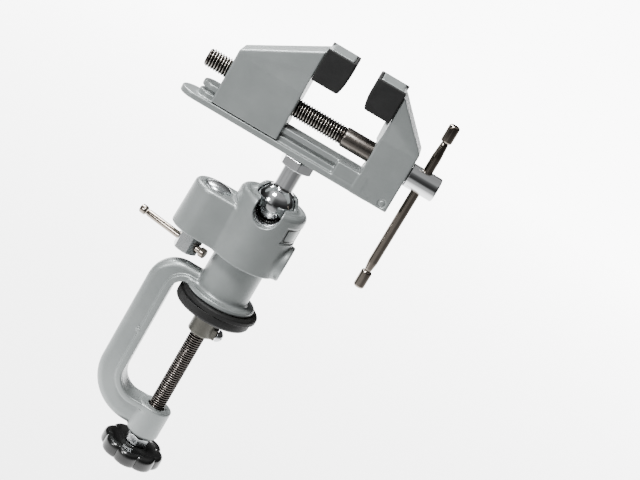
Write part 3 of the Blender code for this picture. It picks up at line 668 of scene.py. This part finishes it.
def pad_screw(x, y, z):
    """A cross-head screw with a domed head."""
    r = np.hypot(y, z - LUG_Z)
    head = np.sqrt((x - 9.6) ** 2 * 0.85 + r ** 2 * 1.0) - 4.3
    head = rmax(np.maximum(head, 10.4 - x), r - 4.15, 0.3)
    d = rmin(head, rmax(r - 2.0, between(x, 4.2, 11.0), 0.3), 0.2)
    cross = np.minimum(np.maximum(np.abs(y) - 0.5, np.abs(z - LUG_Z) - 2.3),
                       np.maximum(np.abs(z - LUG_Z) - 0.5, np.abs(y) - 2.3))
    return cut(d, np.maximum(cross, 12.8 - x), 0.15)


casting("pad_screw", pad_screw, 0.25, ZINC, "pressure_pad")

threaded(
    "clamp_screw_look",
    [(0, KNOB_LOW + 4.4), (4.4, KNOB_LOW + 4.4), (4.6, KNOB_LOW + 4.7), (4.3, -21.4), (3.9, -20.6),
     (3.9, -16.2), (5.0, -15.4), (5.0, -9.4), (4.2, -8.6), (0, -8.6)],
    (1.5, KNOB_LOW + 5.0, -22.0, 0.8, 5.0),
    ROD_THREAD, "clamp_handle", "clamp_screw", (0, 0, 0), (0, 0, 1),
)


def hex_nut(flats, corner_degrees, low, high, hole, at=(0, 0), bored=None):
    """A hexagon nut with rounded-off corners at both ends."""
    edge, bevel = 0.25, 1.7

    def field(x, y, z):
        px, py = x - at[0], y - at[1]
        d = np.full(x.shape, -50.0)
        for i in range(6):
            a = math.radians(corner_degrees + 30 + 60 * i)
            d = rmax(d, px * math.cos(a) + py * math.sin(a) - flats / 2, edge)
        r = np.hypot(px, py)
        rim = r - flats / 2 * 1.04
        d = rmax(d, (rim + (z - high) * bevel) / 2.0, 0.2)
        d = rmax(d, (rim + (low - z) * bevel) / 2.0, 0.2)
        d = rmax(d, between(z, low, high), 0.2)
        d = cut(d, r - hole, 0.4)
        return bored(d, x, y, z) if bored else d

    return field


KNOB_NUT = hex_nut(13.0, -80, KNOB_LOW + 10.2, KNOB_LOW + 15.6, 5.35)
casting("knob_nut", KNOB_NUT, 0.3, ZINC, "clamp_handle")


def knob():
    """The lobed knob: dished on top, with eight rounded lobes."""
    count, lobes, tip_r, dip = 192, 8, 20.3, 2.1
    angles = np.arange(count) * 2 * math.pi / count
    wave = np.abs(np.cos(lobes / 2 * angles)) ** 0.75
    rings = [[(0, 0, KNOB_LOW + 1.5)]]

    def plain(*points):
        for r, h in points:
            rings.append([(r * math.cos(a), r * math.sin(a), KNOB_LOW + h) for a in angles])

    def lobed(*points, depth=1.0):
        for inset, h in points:
            radii = tip_r - inset - dip * depth * (1 - wave)
            rings.append([(r * math.cos(a), r * math.sin(a), KNOB_LOW + h) for r, a in zip(radii, angles)])

    plain((10.8, 1.5), (11.4, 1.3), (12.2, 0.3), (12.9, 0.05))
    lobed((4.2, 0.0), (2.6, 0.1), (1.3, 0.55), (0.5, 1.3), (0.1, 2.3), (0.0, 3.6), (0.0, 6.0), (0.1, 7.4),
          (0.5, 8.6), (1.2, 9.4), (2.2, 9.85), (3.3, 10.0))
    lobed((4.4, 9.85), depth=0.7)
    lobed((5.4, 9.4), depth=0.4)
    plain((13.6, 8.9), (12.6, 8.65), (10.4, 8.6), (9.3, 8.8), (8.6, 9.4), (8.2, 9.7), (7.6, 9.8), (5.6, 9.8),
          (5.4, 9.6), (5.4, 3.9))
    rings.append([(0, 0, KNOB_LOW + 3.9)])
    verts, faces = rings_to_mesh(rings)
    shape("clamp_knob_look", verts, faces, PLASTIC, "clamp_handle", "clamp_knob", sharp=60)


knob()

# ------------------------------------------------------------------ ball joint and lock


def arc_points(radius, start, end, steps):
    """Points on the ball joint's sphere between two heights above its centre."""
    a, b = math.asin(start / radius), math.asin(end / radius)
    angles = [a + (b - a) * i / steps for i in range(steps + 1)]
    return [(radius * math.cos(t), BALL_Z + radius * math.sin(t)) for t in angles]


lathe(
    "ball_stud_look",
    [(0, BALL_Z - BALL_R)] + arc_points(BALL_R, -11.99, 10.1, 40)
    + [(6.2, 82.3), (6.0, 83.0), (6.0, 84.0), (6.0, 96.0), (5.6, 96.3), (4.0, 96.35), (4.0, 110.3),
       (3.5, 110.8), (0, 110.8)],
    CHROME, "ball", "ball_stud", radius=0.0, segments=128,
)
casting("stud_nut", hex_nut(18.8, -78, 96.6, 102.7, 4.35), 0.35, CHROME, "head")


def ball_seat(x, y, z):
    """The cup under the ball, notched at the front."""
    r = np.hypot(x, y)
    ball = np.sqrt(r ** 2 + (z - BALL_Z) ** 2)
    d = rmax(r - 16.55, between(z, 55.3, 66.2), 0.4)
    d = cut(d, ball - 13.9, 0.3)
    notch = np.where(z < 69.2, np.hypot(x, z - 69.2), np.abs(x)) - 7.9
    return cut(d, np.maximum(notch, y + 3.0), 0.4)


def ball_liner(x, y, z):
    """The thin shell between the ball and its cup."""
    r = np.hypot(x, y)
    ball = np.sqrt(r ** 2 + (z - BALL_Z) ** 2)
    d = np.maximum(rmax(np.abs(ball - 12.95) - 0.62, z - BALL_Z + 5.9, 0.2), r - 13.0)
    notch = np.where(z < 69.4, np.hypot(x, z - 69.4), np.abs(x)) - 7.3
    return cut(d, np.maximum(notch, y + 3.0), 0.3)


casting("ball_seat", ball_seat, 0.5, ZINC, "housing")
casting("ball_liner", ball_liner, 0.4, PLASTIC, "housing")

panel_outline()
lathe(
    "lock_bolt_look",
    [(0, 27.2), (4.0, 27.2), (4.0, 61.9), (8.6, 61.9), (8.5, 62.6), (7.9, 63.5), (6.8, 64.2), (5.2, 64.9),
     (3.0, 65.35), (1.2, 65.5), (0, 65.5)],
    ZINC, "housing", "lock_bolt", at=(LOCK_X, 0, 0), radius=0.6,
)
PIN = Vector((-0.944, 0.330, 0)).normalized()


def pin_bore(d, x, y, z):
    """The lock nut with the cross hole for its bar."""
    along = (x - LOCK_X) * PIN.x + y * PIN.y
    off = np.sqrt(np.maximum((x - LOCK_X) ** 2 + y ** 2 - along ** 2, 0) + (z - PIN_Z) ** 2)
    return cut(d, off - 2.55, 0.4)


LOCK_NUT = hex_nut(14.0, -75, 18.6, 30.2, 4.3, at=(LOCK_X, 0), bored=pin_bore)
casting("lock_nut", LOCK_NUT, 0.35, ZINC, "nut")
lathe(
    "lock_pin_look",
    [(0, -12.0), (2.2, -12.0), (2.2, 31.5), (1.8, 32.3), (1.8, 33.1), (2.9, 33.8), (2.9, 37.5), (0, 37.5)],
    NICKEL, "nut_bar", "lock_pin", at=(LOCK_X, 0, PIN_Z), axis=PIN, radius=0.8, segments=64,
)
lathe(
    "lock_pin_cap_look",
    [(0, -13.2), (3.1, -13.2), (3.1, -9.7), (2.5, -9.7), (2.5, -12.3), (0, -12.3)],
    NICKEL, "nut_bar", "lock_pin_cap", at=(LOCK_X, 0, PIN_Z), axis=PIN, radius=0.8, segments=64,
)

# ------------------------------------------------------------------ main screw

AXIS = (0, 0, SCREW_Z)
threaded(
    "jaw_screw_look",
    [(0, -76.0), (4.6, -76.0), (4.9, -75.7), (6.05, 15.6), (6.2, 16.3), (6.2, 35.3), (5.3, 35.4), (5.3, 37.0),
     (6.2, 37.1), (6.2, 58.3), (4.5, 58.35), (4.5, 63.3), (4.1, 63.8), (0, 63.8)],
    (1.75, -75.4, 15.0, 0.95, 5.9),
    JAW_THREAD, "main_screw", "jaw_screw", AXIS, (1, 0, 0),
)


def screw_hub(x, y, z):
    """The main screw's head, bored for the screw, the tommy bar and the spring pin."""
    r = np.hypot(y, z - SCREW_Z)
    d = rmax(rmax(r - 7.5, 58.9 - x, 0.5), x - 78.1, 1.1)
    d = cut(d, np.maximum(r - 4.8, x - 64.1), 0.2)
    d = cut(d, np.hypot(x - TBAR_X, y) - 3.25, 0.5)
    return cut(d, np.maximum(np.hypot(x - 61.4, z - SCREW_Z) - 1.8, -5.5 - y), 0.3)


casting("screw_hub", screw_hub, 0.35, CHROME, "main_screw")
lathe(
    "tbar_rod_look",
    [(0, -73.5), (2.1, -73.5), (2.1, -62.3), (2.3, -61.3), (2.95, -56.5), (2.95, 17.0), (2.3, 25.6),
     (2.1, 26.6), (2.1, 37.8), (0, 37.8)],
    NICKEL, "tbar", "tbar_rod", at=(TBAR_X, 0, SCREW_Z), radius=0.9, segments=64,
)
for place, base_z, way in (("top", 27.2, 1), ("bottom", -62.9, -1)):
    cap = [(0, 10.9), (2.4, 10.9), (2.4, 0.0), (2.9, 0.0), (3.45, 0.8), (3.45, 10.4), (2.6, 11.4), (0, 11.4)]
    if way < 0:
        cap = cap[::-1]
    lathe(
        "tbar_cap_%s_look" % place, [(r, base_z + way * h) for r, h in cap],
        NICKEL, "tbar", "tbar_cap_" + place, at=(TBAR_X, 0, SCREW_Z), radius=0.6,
        segments=64,
    )

# Pieces that don't show keep their CAD shape and only get a material
HIDDEN = {
    STEEL: ("keeper_screw", "upper_wedge", "lower_wedge", "clamp_shoe", "screw_ring", "hub_pin"),
    ZINC: ("lock_washer",),
}
for material, nodes in HIDDEN.items():
    for node in nodes:
        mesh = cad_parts[node].data
        mesh.materials.clear()
        mesh.materials.append(material)

# ------------------------------------------------------------------ stage, light, camera


def build_floor():
    """A pale floor below the knob's lowest place. It glows most far behind the vise and in a fan as wide as
    the picture, so that the background is pale while the metal still reflects dark at its sides."""
    made, tree, shader = new_material("pale_floor")
    shader.inputs["Base Color"].default_value = (0.16, 0.16, 0.16, 1)
    shader.inputs["Roughness"].default_value = 0.9
    shader.inputs["Specular IOR Level"].default_value = 0.0
    shader.inputs["Emission Strength"].default_value = 9.5
    place = coordinates(tree, "Object")
    depths = [(0.05, 0.02), (0.17, 0.42), (0.36, 0.55), (0.84, 1.0)]
    far = grey_ramp(tree, unit(tree, place["Y"], -0.5, 2.0), depths)
    ahead = maths(tree, "MAXIMUM", maths(tree, "ADD", place["Y"], 0.91), 0.5)
    aside = maths(tree, "DIVIDE", maths(tree, "ABSOLUTE", place["X"]), ahead)
    fan = grey_ramp(tree, aside, [(0.0, 1.0), (0.33, 1.0), (0.5, 0.25), (0.8, 0.06)])
    tree.links.new(blend(tree, "MULTIPLY", far, fan), shader.inputs["Emission Color"])
    half, level = 40.0, (KNOB_LOW - CLAMP_FEED - 1.0) * MM
    mesh = bpy.data.meshes.new("floor")
    corners = [(x * half, y * half, level) for x, y in ((-1, -1), (1, -1), (1, 1), (-1, 1))]
    mesh.from_pydata(corners, [], [(0, 1, 2, 3)])
    mesh.materials.append(made)
    piece = bpy.data.objects.new("floor", mesh)
    bpy.context.scene.collection.objects.link(piece)


def build_world():
    """A soft studio: a bright band at the front left, brighter above, dark to the right."""
    world = bpy.data.worlds.new("studio")
    bpy.context.scene.world = world
    world.use_nodes = True
    tree = world.node_tree
    back = tree.nodes["Background"]
    way = coordinates(tree, "Generated")
    bands = [(0.0, 0.03), (0.1, 0.06), (0.19, 1.0), (0.34, 1.2), (0.45, 0.2), (0.56, 0.04), (0.9, 0.02)]
    band = grey_ramp(tree, unit(tree, way["X"], -1.0, 1.0), bands)
    front = grey_ramp(tree, unit(tree, way["Y"], -1.0, 1.0), [(0.42, 1.0), (0.58, 0.1)])
    above = grey_ramp(tree, way["Z"], [(0.0, 0.03), (0.3, 0.07), (0.6, 0.3), (0.8, 1.0), (1.0, 0.9)])
    tree.links.new(blend(tree, "ADD", blend(tree, "MULTIPLY", band, front), above), back.inputs["Color"])
    back.inputs["Strength"].default_value = 0.5


def area_light(name, place, target, size, energy):
    """A square soft light. Places and size are in metres, the energy in watts."""
    data = bpy.data.lights.new(name, "AREA")
    data.energy = energy
    data.size = size
    light = bpy.data.objects.new(name, data)
    bpy.context.scene.collection.objects.link(light)
    light.location = place
    light.rotation_euler = (Vector(target) - Vector(place)).to_track_quat("-Z", "Y").to_euler()


def build_camera():
    """The camera is rolled, so that the upright vise leans to the left in the picture."""
    place = (0.0131, -0.9094, 0.3259)
    yaw, pitch, roll = math.radians(1.34), math.radians(15.93), math.radians(30.82)
    ahead = Vector((math.sin(yaw) * math.cos(pitch), math.cos(yaw) * math.cos(pitch), -math.sin(pitch)))
    side = Vector((math.cos(yaw), -math.sin(yaw), 0))
    up = side.cross(ahead)
    c, s = math.cos(roll), math.sin(roll)
    matrix = Matrix((side * c + up * s, up * c - side * s, -ahead)).transposed().to_4x4()
    matrix.translation = Vector(place)
    data = bpy.data.cameras.new("camera")
    data.lens, data.sensor_width = 90.0, 36.0
    camera = bpy.data.objects.new("camera", data)
    bpy.context.scene.collection.objects.link(camera)
    camera.matrix_world = matrix
    bpy.context.scene.camera = camera


build_floor()
build_world()
area_light("key", (-0.45, -0.6, 1.1), (0, 0, 0.05), 0.3, 44)
area_light("top", (-0.5, 0.3, 0.8), (0, 0, 0.1), 0.4, 30)
area_light("front", (-0.75, -0.9, 0.35), (0, 0, 0.05), 0.25, 9)
build_camera()
